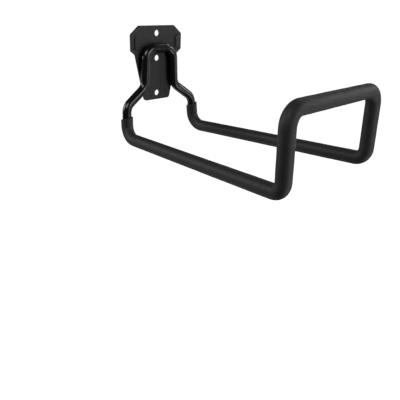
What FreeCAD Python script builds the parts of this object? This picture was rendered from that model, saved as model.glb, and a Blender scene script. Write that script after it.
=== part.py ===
"""Wall-mounted hose hanger: a stamped plate, a bent rod welded to it and a foam sleeve.

Frame: +X to the right, +Y into the wall, +Z up. The origin lies on the plate's back face,
midway between the top and bottom screw holes. The hook reaches towards -Y.
"""
import FreeCAD
import Part
import os
from math import cos, degrees, radians, sin, tan

V = FreeCAD.Vector

# Wall plate
PLATE_W = 84.0
PLATE_H = 96.5
PLATE_T = 2.5
TOP_EDGE_W = 58.0
TOP_CUT_H = 10.5
SIDE_EDGE_H = 20.0
NOTCH_H = 5.0
NECK_W = 71.0
TAB_W = 43.0
CORNER_R = 2.0
TAB_CORNER_R = 4.5
RIM_R = 0.4

# Screw holes, on the plate's centre line
HOLE_D = 8.0
TOP_HOLE_INSET = 9.5
BOTTOM_HOLE_INSET = 9.0
MIDDLE_HOLE_GAP = 3.5

# Pressed ribs, one beside each side edge, hollow behind
RIB_L = 18.0
RIB_W = 6.5
RIB_HEIGHT = 1.5
RIB_INSET = 8.3
RIB_CROWN_R = 1.4
RIB_ROOT_R = 0.6
RIB_WALL = 1.6
RIB_HOLLOW_R = 0.8

# Rod, as bend points of its centre line
ROD_D = 12.0
WELD_FLAT = 0.15
ARCH_SPACING = 45.0
ARCH_Z = 21.0
LEG_END_SPACING = 50.0
LEG_END_Z = -28.0
SHOULDER_SPACING = 114.0
SHOULDER_DROP = 22.0
SHOULDER_LEAN = 2.5
DROP_L = 41.0
DROP_SPLAY = 3.5
ARM_L = 270.0
ARM_SPLAY = 3.5
ARM_RISE = 4.5
POST_L = 76.5

# Bend radii, on the centre line
ARCH_R = 14.0
SHOULDER_R = 16.0
ELBOW_R = 18.0
FRONT_LOW_R = 12.0
FRONT_TOP_R = 16.0

# Foam sleeve
SLEEVE_WALL = 2.0
SLEEVE_SETBACK = 4.5
SLEEVE_END_R = 0.8

# How near two places count as one
SAME_PLACE = 1e-4

PLATE_FRONT_Y = -PLATE_T
HOLE_PITCH = PLATE_H - TOP_HOLE_INSET - BOTTOM_HOLE_INSET
PLATE_TOP_Z = HOLE_PITCH / 2 + TOP_HOLE_INSET
ROD_R = ROD_D / 2
MIDDLE_HOLE_Z = ARCH_Z - ROD_R - MIDDLE_HOLE_GAP - HOLE_D / 2
RIB_X = PLATE_W / 2 - RIB_INSET
RIB_Z = PLATE_TOP_Z - TOP_CUT_H - SIDE_EDGE_H / 2
SLEEVE_R = ROD_R + SLEEVE_WALL


def rounded_outline(corners):
    """Closed wire through (x, z, radius) corners in the XZ plane, each corner an arc."""
    points = [V(x, 0, z) for x, z, _ in corners]
    edges = []
    ends = []
    for i, (_, _, radius) in enumerate(corners):
        corner = points[i]
        before = (points[i - 1] - corner).normalize()
        after = (points[(i + 1) % len(points)] - corner).normalize()
        half = before.getAngle(after) / 2
        start = corner + before * (radius / tan(half))
        end = corner + after * (radius / tan(half))
        bisector = (before + after).normalize()
        middle = corner + bisector * (radius / sin(half) - radius)
        ends.append((start, end))
        edges.append(Part.Arc(start, middle, end).toShape())
    for i, (_, end) in enumerate(ends):
        next_start = ends[(i + 1) % len(ends)][0]
        edges.append(Part.makeLine(end, next_start))
    return Part.Wire(Part.__sortEdges__(edges))


def plate_blank():
    """The plate's outline, extruded from the wall to its front face."""
    top = PLATE_TOP_Z
    side_top = top - TOP_CUT_H
    side_bottom = side_top - SIDE_EDGE_H
    neck = side_bottom - NOTCH_H
    right_side = [
        (TOP_EDGE_W / 2, top, CORNER_R),
        (PLATE_W / 2, side_top, CORNER_R),
        (PLATE_W / 2, side_bottom, CORNER_R),
        (NECK_W / 2, neck, CORNER_R),
        (TAB_W / 2, top - PLATE_H, TAB_CORNER_R),
    ]
    left_side = [(-x, z, radius) for x, z, radius in reversed(right_side)]
    outline = rounded_outline(right_side + left_side)
    blank = Part.Face(outline).extrude(V(0, PLATE_FRONT_Y, 0))
    front_rim = [edge for edge in blank.Edges if abs(edge.BoundBox.YMax - PLATE_FRONT_Y) < SAME_PLACE]
    return blank.makeFillet(RIM_R, front_rim)


def screw_hole(z):
    return Part.makeCylinder(HOLE_D / 2, PLATE_T, V(0, 0, z), V(0, -1, 0))


def oblong(x, width, length, depth, far_r):
    """An upright oblong standing out from the wall, with its far edge rounded."""
    radius = width / 2
    straight = length - width
    away = V(0, -1, 0)
    ends = [V(x, 0, RIB_Z - straight / 2), V(x, 0, RIB_Z + straight / 2)]
    block = Part.makeBox(width, depth, straight, V(x - radius, -depth, RIB_Z - straight / 2))
    block = block.fuse([Part.makeCylinder(radius, depth, end, away) for end in ends]).removeSplitter()
    far_rim = [edge for edge in block.Edges if abs(edge.BoundBox.YMax + depth) < SAME_PLACE]
    return block.makeFillet(far_r, far_rim)


def rib(x):
    return oblong(x, RIB_W, RIB_L, PLATE_T + RIB_HEIGHT, RIB_CROWN_R)


def rib_hollow(x):
    return oblong(x, RIB_W - 2 * RIB_WALL, RIB_L - 2 * RIB_WALL, RIB_HEIGHT, RIB_HOLLOW_R)


def is_rib_root(edge):
    """True for an edge where a rib meets the plate's front."""
    box = edge.BoundBox
    on_front = abs(box.YMin - PLATE_FRONT_Y) < SAME_PLACE and box.YLength < SAME_PLACE
    beside_rib = abs(abs(box.Center.x) - RIB_X) < RIB_W / 2 + SAME_PLACE
    return on_front and beside_rib and abs(box.Center.z - RIB_Z) < RIB_L / 2 + SAME_PLACE


def wall_plate():
    ribbed = plate_blank().fuse([rib(-RIB_X), rib(RIB_X)])
    ribbed = ribbed.makeFillet(RIB_ROOT_R, [edge for edge in ribbed.Edges if is_rib_root(edge)])
    holes = [screw_hole(z) for z in (HOLE_PITCH / 2, MIDDLE_HOLE_Z, -HOLE_PITCH / 2)]
    return ribbed.cut(holes + [rib_hollow(-RIB_X), rib_hollow(RIB_X)])


def rod_bends():
    """Bend points of the right half, from the arch's middle to the top bar's middle."""
    seat_y = PLATE_FRONT_Y - ROD_R + WELD_FLAT
    rise = radians(ARM_RISE)
    arm_splay = radians(ARM_SPLAY)
    drop_splay = radians(DROP_SPLAY)
    upright = V(0, sin(rise), cos(rise))
    forward = V(0, -cos(rise), sin(rise))
    sideways = V(1, 0, 0)
    arch = V(ARCH_SPACING / 2, seat_y, ARCH_Z)
    leg_end = V(LEG_END_SPACING / 2, seat_y, LEG_END_Z)
    shoulder = V(SHOULDER_SPACING / 2, seat_y - SHOULDER_LEAN, LEG_END_Z - SHOULDER_DROP)
    elbow = shoulder + (sideways * sin(drop_splay) - upright * cos(drop_splay)) * DROP_L
    front_low = elbow + (sideways * sin(arm_splay) + forward * cos(arm_splay)) * ARM_L
    front_high = front_low + upright * POST_L
    return [
        (arch, ARCH_R),
        (leg_end, SHOULDER_R),
        (shoulder, SHOULDER_R),
        (elbow, ELBOW_R),
        (front_low, FRONT_LOW_R),
        (front_high, FRONT_TOP_R),
    ]


def bend_arc(before, corner, after, radius):
    """Where a bend starts and ends on its two runs, with its centre, axis and turn in degrees."""
    incoming = (corner - before).normalize()
    outgoing = (after - corner).normalize()
    turn = incoming.getAngle(outgoing)
    setback = radius * tan(turn / 2)
    start = corner - incoming * setback
    end = corner + outgoing * setback
    centre = corner + (outgoing - incoming).normalize() * (radius / cos(turn / 2))
    axis = incoming.cross(outgoing).normalize()
    return start, end, centre, axis, degrees(turn)


def ring_face(centre, direction, outer_r, bore_r):
    disc = Part.Face(Part.Wire(Part.makeCircle(outer_r, centre, direction)))
    if bore_r == 0:
        return disc
    return disc.cut(Part.Face(Part.Wire(Part.makeCircle(bore_r, centre, direction)))).Faces[0]


def bent_tube(first, bends, last, outer_r, bore_r=0.0):
    """A bar or tube through the bends: cylinders on the runs, torus segments at the bends."""
    corners = [first] + [point for point, _ in bends] + [last]
    at = first
    solids = []
    for i, (corner, radius) in enumerate(bends, start=1):
        start, end, centre, axis, turn = bend_arc(corners[i - 1], corner, corners[i + 1], radius)
        run = start - at
        solids.append(ring_face(at, run, outer_r, bore_r).extrude(run))
        solids.append(ring_face(start, run, outer_r, bore_r).revolve(centre, axis, turn))
        at = end
    run = last - at
    solids.append(ring_face(at, run, outer_r, bore_r).extrude(run))
    return solids


def both_halves(right_solids):
    left_solids = [solid.mirror(V(0, 0, 0), V(1, 0, 0)) for solid in right_solids]
    solids = right_solids + left_solids
    return solids[0].multiFuse(solids[1:]).removeSplitter()


def middle_of(point):
    return V(0, point.y, point.z)


def hook_rod():
    bends = rod_bends()
    half = bent_tube(middle_of(bends[0][0]), bends, middle_of(bends[-1][0]), ROD_R)
    rod = both_halves(half)
    behind_plate_front = Part.makeBox(
        SHOULDER_SPACING, PLATE_T, PLATE_H, V(-SHOULDER_SPACING / 2, PLATE_FRONT_Y, PLATE_TOP_Z - PLATE_H))
    return rod.cut(behind_plate_front)


def sleeve_start(bends):
    """The sleeve's end on the drop, a little below the shoulder bend."""
    _, shoulder_end, _, _, _ = bend_arc(bends[1][0], bends[2][0], bends[3][0], bends[2][1])
    down = (bends[3][0] - bends[2][0]).normalize()
    return shoulder_end + down * SLEEVE_SETBACK


def foam_sleeve():
    bends = rod_bends()
    start = sleeve_start(bends)
    half = bent_tube(start, bends[3:], middle_of(bends[-1][0]), SLEEVE_R, ROD_R)
    sleeve = both_halves(half)
    outer_ends = [edge for edge in sleeve.Edges if is_outer_end(edge, start)]
    return sleeve.makeFillet(SLEEVE_END_R, outer_ends)


def is_outer_end(edge, start):
    """True for the outer circle of a sleeve end, on either side."""
    if not isinstance(edge.Curve, Part.Circle):
        return False
    centre = edge.Curve.Center
    at_end = V(abs(centre.x), centre.y, centre.z).distanceToPoint(start) < SAME_PLACE
    return at_end and abs(edge.Curve.Radius - SLEEVE_R) < SAME_PLACE


def main():
    os.makedirs("parts", exist_ok=True)
    pieces = {"wall_plate": wall_plate(), "hook_rod": hook_rod(), "foam_sleeve": foam_sleeve()}
    for name, shape in pieces.items():
        shape.exportStep("parts/" + name + ".step")
        print(name, len(shape.Solids), shape.isValid(), round(shape.Volume, 1))


main()
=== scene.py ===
import bmesh
import bpy
from math import cos, pi, radians, sin, tan
from mathutils import Matrix, Quaternion, Vector, noise


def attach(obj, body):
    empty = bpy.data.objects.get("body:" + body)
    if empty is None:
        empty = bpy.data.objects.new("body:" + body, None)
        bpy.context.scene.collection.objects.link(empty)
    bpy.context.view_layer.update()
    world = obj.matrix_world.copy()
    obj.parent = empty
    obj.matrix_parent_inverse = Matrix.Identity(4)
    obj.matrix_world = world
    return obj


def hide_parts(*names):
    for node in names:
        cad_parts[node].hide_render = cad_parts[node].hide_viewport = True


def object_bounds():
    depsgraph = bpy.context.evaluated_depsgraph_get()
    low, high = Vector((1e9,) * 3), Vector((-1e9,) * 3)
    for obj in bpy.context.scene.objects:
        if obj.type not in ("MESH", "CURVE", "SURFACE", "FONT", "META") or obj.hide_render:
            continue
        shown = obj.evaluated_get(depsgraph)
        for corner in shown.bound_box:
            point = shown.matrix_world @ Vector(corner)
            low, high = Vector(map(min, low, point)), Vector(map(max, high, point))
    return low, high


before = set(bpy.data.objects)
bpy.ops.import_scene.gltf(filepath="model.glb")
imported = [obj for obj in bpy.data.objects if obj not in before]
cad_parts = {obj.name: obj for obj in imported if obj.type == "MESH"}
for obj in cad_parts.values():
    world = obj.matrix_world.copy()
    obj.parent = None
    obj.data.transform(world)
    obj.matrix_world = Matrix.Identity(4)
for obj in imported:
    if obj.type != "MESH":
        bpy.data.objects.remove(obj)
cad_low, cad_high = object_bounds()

MM = 0.001
WHITE = (1, 1, 1, 1)
RING_PARTS = (bmesh.types.BMVert, bmesh.types.BMEdge)

# The rod's route under the foam, on the right: down a drop, along an arm, up a post to the front bar
SHOULDER = Vector((57.0, -10.85, -50.0)) * MM
DROP_L = 41.0 * MM
DROP_SPLAY = radians(3.5)
ARM_L = 270.0 * MM
ARM_SPLAY = radians(3.5)
ARM_RISE = radians(4.5)
POST_L = 76.5 * MM
ELBOW_R = 18.0 * MM
FRONT_LOW_R = 12.0 * MM
FRONT_TOP_R = 16.0 * MM

# Foam sleeve: a tube swept along that route
FOAM_R = 8.0 * MM
FOAM_WALL = 2.1 * MM
FOAM_BLANK_START = 5.0 * MM
FOAM_RING_POINTS = 56
FOAM_STEP = 2.2 * MM
FOAM_BEND_MIN_STEPS = 8
FOAM_SWELL = 0.12 * MM
FOAM_SWELL_SIZE = 14.0 * MM
SAME_PLACE = 0.01 * MM

# Knife cuts at the sleeve's ends: distance below the shoulder, slant, and the way that they slope
CUT_RIGHT = 10.2 * MM
CUT_LEFT = 14.5 * MM
CUT_SLANT = radians(15)
CUT_ACROSS = Vector((0.73, -0.68, 0.0))
CUT_ROOM = 16.0 * MM
CUT_SNAP = 0.2 * MM
CUT_FACE_DOT = 0.7
CUT_EDGE_R = 0.6 * MM
CUT_EDGE_SEGMENTS = 3

# Coats and foam: grain sizes, and the grey, roughness and bump that the grain gives
GRAIN_DETAIL = 3.0
GRAIN_SPAN = (0.3, 0.7)
CLOUD_SPAN = (0.35, 0.65)
PLATE_SPECK = 0.5 * MM
PLATE_CLOUD = 16.0 * MM
PLATE_GREYS = (0.0050, 0.0080)
PLATE_ROUGHNESS = (0.44, 0.50)
PLATE_SPECULAR = 0.48
PLATE_BUMP = 0.02 * MM
PLATE_BUMP_STRENGTH = 0.2
ROD_PEEL = 1.6 * MM
ROD_PEEL_DETAIL = 2.0
ROD_CLOUD = 12.0 * MM
ROD_GREYS = (0.0030, 0.0050)
ROD_ROUGHNESS = (0.18, 0.24)
ROD_SPECULAR = 0.6
ROD_BUMP = 0.02 * MM
ROD_BUMP_STRENGTH = 0.05
FOAM_PORE = 0.45 * MM
FOAM_PORE_DETAIL = 4.0
FOAM_MOTTLE = 3.5 * MM
FOAM_GREYS = (0.0070, 0.0115)
FOAM_ROUGHNESS = (0.58, 0.66)
FOAM_SPECULAR = 0.6
FOAM_BUMP = 0.12 * MM
FOAM_BUMP_STRENGTH = 0.4

# Camera, at the photograph's place
CAMERA_AT = Vector((-370.73, -478.53, 91.78)) * MM
CAMERA_TARGET = Vector((-57.328, -157.691, -129.214)) * MM
CAMERA_ROLL = radians(2.794)
CAMERA_LENS = 38.19

# Studio: a pale floor and backdrop, and a faint light all round that grows towards the back
FLOOR_DROP = 0.75
FLOOR_REACH = 14.0
FLOOR_CELLS = 12
BACKDROP_R = 12.0
BACKDROP_SEGMENTS = 48
BACKDROP_RINGS = 24
PAINT_CLOUD = 0.8
PAINT_GREYS = (0.88, 0.92)
PAINT_ROUGHNESS = 0.9
PAINT_GLOW = 1.0
STUDIO_BACK = Vector((0.70, 0.714, 0.0))
STUDIO_FADE = (-0.5, 0.7)
STUDIO_GLOW = (0.04, 0.06)

# Softboxes: azimuth and elevation in degrees, width, height and radiance; azimuth 0 faces the plate
SOFTBOX_DISTANCE = 1.3
SOFTBOXES = {
    "front": (15, 16, 0.56, 0.56, 4.0),
    "front_right_low": (25, -18, 0.72, 0.90, 1.35),
    "front_under": (20, -42, 0.70, 0.50, 2.4),
    "left_top": (-75, 42, 0.70, 0.56, 4.0),
    "left_back": (-136, 18, 0.55, 0.60, 5.2),
    "left_back_under": (-135, -36, 0.70, 0.50, 1.0),
    "right": (67, 18, 0.46, 0.42, 5.2),
    "right_front_low": (74, -12, 0.45, 0.60, 0.9),
    "right_low": (104, -6, 0.70, 0.50, 2.6),
    "right_under": (95, -34, 0.50, 0.40, 1.2),
    "right_top": (97, 44, 0.90, 0.22, 2.4),
    "right_back": (135, 16, 0.60, 0.60, 0.5),
    "back": (180, -14, 0.80, 0.50, 0.9),
    "back_under": (180, -65, 1.00, 0.60, 0.8),
}

# Bend points of the route, worked out from its lengths and angles
SIDEWAYS = Vector((1, 0, 0))
UPRIGHT = Vector((0, sin(ARM_RISE), cos(ARM_RISE)))
FORWARD = Vector((0, -cos(ARM_RISE), sin(ARM_RISE)))
DROP_WAY = SIDEWAYS * sin(DROP_SPLAY) - UPRIGHT * cos(DROP_SPLAY)
ARM_WAY = SIDEWAYS * sin(ARM_SPLAY) + FORWARD * cos(ARM_SPLAY)
ELBOW = SHOULDER + DROP_WAY * DROP_L
FRONT_LOW = ELBOW + ARM_WAY * ARM_L
FRONT_TOP = FRONT_LOW + UPRIGHT * POST_L
BAR_MIDDLE = Vector((0, FRONT_TOP.y, FRONT_TOP.z))


def sweep_ring(mesh, ring, steps, stride=(0, 0, 0), turn=0.0, centre=(0, 0, 0), axis=(0, 0, 1)):
    """Sweeps the ring in even steps, and gives the points and edges that it ends with."""
    swept = bmesh.ops.spin(mesh, geom=ring, cent=centre, axis=axis, dvec=stride, angle=turn, steps=steps,
                           use_merge=False, use_normal_flip=False, use_duplicate=False)
    return [part for part in swept["geom_last"] if isinstance(part, RING_PARTS)]


def push_ring(mesh, ring, travel):
    """Carries the ring straight along travel."""
    steps = max(1, round(travel.length / FOAM_STEP))
    return sweep_ring(mesh, ring, steps, stride=travel / steps)


def turn_ring(mesh, ring, centre, axis, turn, radius):
    """Carries the ring round a bend."""
    steps = max(FOAM_BEND_MIN_STEPS, round(turn * (radius + FOAM_R) / FOAM_STEP))
    return sweep_ring(mesh, ring, steps, turn=turn, centre=centre, axis=axis)


def bend_place(before, corner, after, radius):
    """Start, end, centre, axis and turn of the bend at corner."""
    incoming = (corner - before).normalized()
    outgoing = (after - corner).normalized()
    turn = incoming.angle(outgoing)
    setback = radius * tan(turn / 2)
    centre = corner + (outgoing - incoming).normalized() * (radius / cos(turn / 2))
    axis = incoming.cross(outgoing).normalized()
    return corner - incoming * setback, corner + outgoing * setback, centre, axis, turn


def foam_half(mesh):
    """The right half of the sleeve's skin, swept from above its cut on the drop to the middle of the bar."""
    at = SHOULDER + DROP_WAY * FOAM_BLANK_START
    place = Matrix.Translation(at) @ DROP_WAY.to_track_quat("Z", "X").to_matrix().to_4x4()
    made = bmesh.ops.create_circle(mesh, segments=FOAM_RING_POINTS, radius=FOAM_R, matrix=place)
    ring = made["verts"] + mesh.edges[:]
    route = [SHOULDER, ELBOW, FRONT_LOW, FRONT_TOP, BAR_MIDDLE]
    radii = [ELBOW_R, FRONT_LOW_R, FRONT_TOP_R]
    for i, radius in enumerate(radii, start=1):
        start, end, centre, axis, turn = bend_place(route[i - 1], route[i], route[i + 1], radius)
        ring = push_ring(mesh, ring, start - at)
        ring = turn_ring(mesh, ring, centre, axis, turn, radius)
        at = end
    push_ring(mesh, ring, BAR_MIDDLE - at)


def cut_place(side):
    """Place of the cut on the right (1) or left (-1) drop, the way up there, and the way the cut faces."""
    mirrored = Vector((side, 1, 1))
    up = -DROP_WAY * mirrored
    below = CUT_RIGHT if side > 0 else CUT_LEFT
    facing = up - CUT_ACROSS * tan(CUT_SLANT)
    return SHOULDER * mirrored - up * below, up, facing.normalized()


def cut_end(mesh, side):
    """Trims one end of the sleeve with a slanting knife cut, which touches only the skin near it."""
    at, _, facing = cut_place(side)
    near = [face for face in mesh.faces if (face.calc_center_median() - at).length < CUT_ROOM]
    edges = dict.fromkeys(edge for face in near for edge in face.edges)
    points = dict.fromkeys(point for face in near for point in face.verts)
    bmesh.ops.bisect_plane(mesh, geom=list(points) + list(edges) + near, dist=CUT_SNAP,
                           plane_co=at, plane_no=facing, clear_outer=True, clear_inner=False)


def swell_skin(mesh):
    """Gentle unevenness of soft foam, as moves of the skin along its normals."""
    mesh.normal_update()
    for point in mesh.verts:
        wave = noise.noise(point.co / FOAM_SWELL_SIZE)
        point.co += point.normal * (wave * FOAM_SWELL)


def round_end(mesh, side):
    """Rounds the outer edge of one cut end, found on the faces that look the way of the cut."""
    at, up, facing = cut_place(side)
    rim = {}
    for face in mesh.faces:
        beside = (face.calc_center_median() - at).length < 2 * FOAM_R
        if beside and face.normal.dot(facing) > CUT_FACE_DOT:
            rim.update(dict.fromkeys(face.edges))
    outer = []
    for edge in rim:
        reach = [(point.co - at) - up * (point.co - at).dot(up) for point in edge.verts]
        if min(away.length for away in reach) > FOAM_R - FOAM_WALL / 2:
            outer.append(edge)
    bmesh.ops.bevel(mesh, geom=outer, offset=CUT_EDGE_R, offset_type="OFFSET", affect="EDGES",
                    segments=CUT_EDGE_SEGMENTS, profile=0.5, material=-1)


def make_foam_sleeve():
    """The whole sleeve: two mirrored halves, swollen, cut to length and given their wall."""
    mesh = bmesh.new()
    foam_half(mesh)
    half = mesh.verts[:] + mesh.edges[:] + mesh.faces[:]
    bmesh.ops.mirror(mesh, geom=half, axis="X", merge_dist=SAME_PLACE)
    bmesh.ops.remove_doubles(mesh, verts=mesh.verts[:], dist=SAME_PLACE)
    bmesh.ops.recalc_face_normals(mesh, faces=mesh.faces[:])
    swell_skin(mesh)
    for side in (1, -1):
        cut_end(mesh, side)
    bmesh.ops.solidify(mesh, geom=mesh.faces[:], thickness=FOAM_WALL)
    mesh.normal_update()
    for side in (1, -1):
        round_end(mesh, side)
    data = bpy.data.meshes.new("foam_tube")
    mesh.to_mesh(data)
    mesh.free()
    data.shade_smooth()
    piece = bpy.data.objects.new("foam_tube", data)
    bpy.context.scene.collection.objects.link(piece)
    return piece


def new_finish(name):
    """A node material, with its node tree, its shader and its object coordinates."""
    finish = bpy.data.materials.new(name)
    finish.use_nodes = True
    tree = finish.node_tree
    place = tree.nodes.new("ShaderNodeTexCoord").outputs["Object"]
    return finish, tree, tree.nodes["Principled BSDF"], place


def grain(tree, place, size, detail=GRAIN_DETAIL):
    """Noise with grains of about that size, as its value socket."""
    node = tree.nodes.new("ShaderNodeTexNoise")
    node.inputs["Scale"].default_value = 1.0 / size
    node.inputs["Detail"].default_value = detail
    tree.links.new(place, node.inputs["Vector"])
    return node.outputs["Fac"]


def greys(tree, value, span, shades):
    """A ramp from one grey to another while the value goes through the span."""
    ramp = tree.nodes.new("ShaderNodeValToRGB")
    for stop, at, shade in zip(ramp.color_ramp.elements, span, shades):
        stop.position = at
        stop.color = (shade, shade, shade, 1.0)
    tree.links.new(value, ramp.inputs["Fac"])
    return ramp.outputs["Color"]


def stretch(tree, value, span, reach, smoothing="LINEAR"):
    """The value brought from the span to its reach."""
    node = tree.nodes.new("ShaderNodeMapRange")
    node.interpolation_type = smoothing
    node.inputs["From Min"].default_value, node.inputs["From Max"].default_value = span
    node.inputs["To Min"].default_value, node.inputs["To Max"].default_value = reach
    tree.links.new(value, node.inputs["Value"])
    return node.outputs["Result"]


def relief(tree, shader, height, depth, strength):
    """Bump of that depth on the shader's normal."""
    node = tree.nodes.new("ShaderNodeBump")
    node.inputs["Strength"].default_value = strength
    node.inputs["Distance"].default_value = depth
    tree.links.new(height, node.inputs["Height"])
    tree.links.new(node.outputs["Normal"], shader.inputs["Normal"])


def plate_coat():
    """Satin black coat with fine specks."""
    finish, tree, shader, place = new_finish("satin_black_coat")
    speck = grain(tree, place, PLATE_SPECK)
    cloud = grain(tree, place, PLATE_CLOUD)
    tree.links.new(greys(tree, cloud, CLOUD_SPAN, PLATE_GREYS), shader.inputs["Base Color"])
    tree.links.new(stretch(tree, speck, GRAIN_SPAN, PLATE_ROUGHNESS), shader.inputs["Roughness"])
    shader.inputs["Specular IOR Level"].default_value = PLATE_SPECULAR
    relief(tree, shader, speck, PLATE_BUMP, PLATE_BUMP_STRENGTH)
    return finish


def rod_coat():
    """Gloss black coat with a slight orange peel."""
    finish, tree, shader, place = new_finish("gloss_black_coat")
    peel = grain(tree, place, ROD_PEEL, ROD_PEEL_DETAIL)
    cloud = grain(tree, place, ROD_CLOUD)
    tree.links.new(greys(tree, cloud, CLOUD_SPAN, ROD_GREYS), shader.inputs["Base Color"])
    tree.links.new(stretch(tree, peel, GRAIN_SPAN, ROD_ROUGHNESS), shader.inputs["Roughness"])
    shader.inputs["Specular IOR Level"].default_value = ROD_SPECULAR
    relief(tree, shader, peel, ROD_BUMP, ROD_BUMP_STRENGTH)
    return finish


def foam_skin():
    """Matte charcoal foam, mottled, with fine pores."""
    finish, tree, shader, place = new_finish("charcoal_foam")
    pore = grain(tree, place, FOAM_PORE, FOAM_PORE_DETAIL)
    mottle = grain(tree, place, FOAM_MOTTLE)
    tree.links.new(greys(tree, mottle, GRAIN_SPAN, FOAM_GREYS), shader.inputs["Base Color"])
    tree.links.new(stretch(tree, mottle, GRAIN_SPAN, FOAM_ROUGHNESS), shader.inputs["Roughness"])
    shader.inputs["Specular IOR Level"].default_value = FOAM_SPECULAR
    relief(tree, shader, pore, FOAM_BUMP, FOAM_BUMP_STRENGTH)
    return finish


def coat(node_name, finish):
    """Gives a CAD node its finish."""
    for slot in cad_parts[node_name].material_slots:
        slot.material = finish


def pale_paint(name):
    """Pale studio paint, a little uneven, with an even glow of its own."""
    finish, tree, shader, place = new_finish(name)
    cloud = grain(tree, place, PAINT_CLOUD)
    tree.links.new(greys(tree, cloud, GRAIN_SPAN, PAINT_GREYS), shader.inputs["Base Color"])
    shader.inputs["Roughness"].default_value = PAINT_ROUGHNESS
    shader.inputs["Emission Color"].default_value = WHITE
    shader.inputs["Emission Strength"].default_value = PAINT_GLOW
    return finish


def seen_only(piece):
    """Keeps a piece of the stage out of the part's light and reflections."""
    piece.visible_diffuse = False
    piece.visible_glossy = False
    piece.visible_transmission = False
    piece.visible_shadow = False


def make_stage():
    """A pale floor below the hanger and a pale backdrop all round it."""
    floor_mesh = bmesh.new()
    level = Matrix.Translation((0, 0, cad_low.z - FLOOR_DROP))
    bmesh.ops.create_grid(floor_mesh, x_segments=FLOOR_CELLS, y_segments=FLOOR_CELLS,
                          size=FLOOR_REACH, matrix=level)
    backdrop_mesh = bmesh.new()
    bmesh.ops.create_uvsphere(backdrop_mesh, u_segments=BACKDROP_SEGMENTS, v_segments=BACKDROP_RINGS,
                              radius=BACKDROP_R)
    bmesh.ops.reverse_faces(backdrop_mesh, faces=backdrop_mesh.faces[:])
    for name, mesh in (("floor", floor_mesh), ("backdrop", backdrop_mesh)):
        data = bpy.data.meshes.new("studio_" + name)
        mesh.to_mesh(data)
        mesh.free()
        data.materials.append(pale_paint("pale_" + name))
        piece = bpy.data.objects.new("studio_" + name, data)
        seen_only(piece)
        bpy.context.scene.collection.objects.link(piece)


def softbox(name, azimuth, elevation, width, height, radiance):
    """A studio lamp aimed at the middle of the hanger."""
    around, up = radians(azimuth), radians(elevation)
    aim = (cad_low + cad_high) / 2
    away = Vector((sin(around) * cos(up), -cos(around) * cos(up), sin(up)))
    lamp = bpy.data.lights.new(name, "AREA")
    lamp.shape = "RECTANGLE"
    lamp.size = width
    lamp.size_y = height
    lamp.energy = radiance * pi * width * height
    box = bpy.data.objects.new(name, lamp)
    facing = away.to_track_quat("Z", "Y").to_matrix().to_4x4()
    box.matrix_world = Matrix.Translation(aim + away * SOFTBOX_DISTANCE) @ facing
    box.visible_camera = False
    bpy.context.scene.collection.objects.link(box)


def towards_back(tree, direction):
    """How far a direction points to the back of the studio, as a value socket."""
    node = tree.nodes.new("ShaderNodeVectorMath")
    node.operation = "DOT_PRODUCT"
    node.inputs[1].default_value = STUDIO_BACK
    tree.links.new(direction, node.inputs[0])
    return node.outputs["Value"]


def make_light():
    """The softboxes, and the studio's faint light from all round."""
    for name, setting in SOFTBOXES.items():
        softbox(name, *setting)
    world = bpy.data.worlds.new("studio")
    world.use_nodes = True
    bpy.context.scene.world = world
    tree = world.node_tree
    direction = tree.nodes.new("ShaderNodeTexCoord").outputs["Generated"]
    glow = stretch(tree, towards_back(tree, direction), STUDIO_FADE, STUDIO_GLOW, "SMOOTHSTEP")
    tree.links.new(glow, tree.nodes["Background"].inputs["Strength"])
    tree.nodes["Background"].inputs["Color"].default_value = WHITE


def make_camera():
    """The camera, at the photograph's place and angle."""
    lens = bpy.data.cameras.new("camera")
    lens.lens = CAMERA_LENS
    camera = bpy.data.objects.new("camera", lens)
    look = (CAMERA_TARGET - CAMERA_AT).to_track_quat("-Z", "Y") @ Quaternion((0, 0, 1), CAMERA_ROLL)
    camera.matrix_world = Matrix.Translation(CAMERA_AT) @ look.to_matrix().to_4x4()
    bpy.context.scene.collection.objects.link(camera)
    bpy.context.scene.camera = camera


foam = make_foam_sleeve()
foam.data.materials.append(foam_skin())
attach(foam, "root")
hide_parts("foam_sleeve")
coat("wall_plate", plate_coat())
coat("hook_rod", rod_coat())
make_stage()
make_light()
make_camera()
bpy.context.scene.view_settings.view_transform = "Standard"
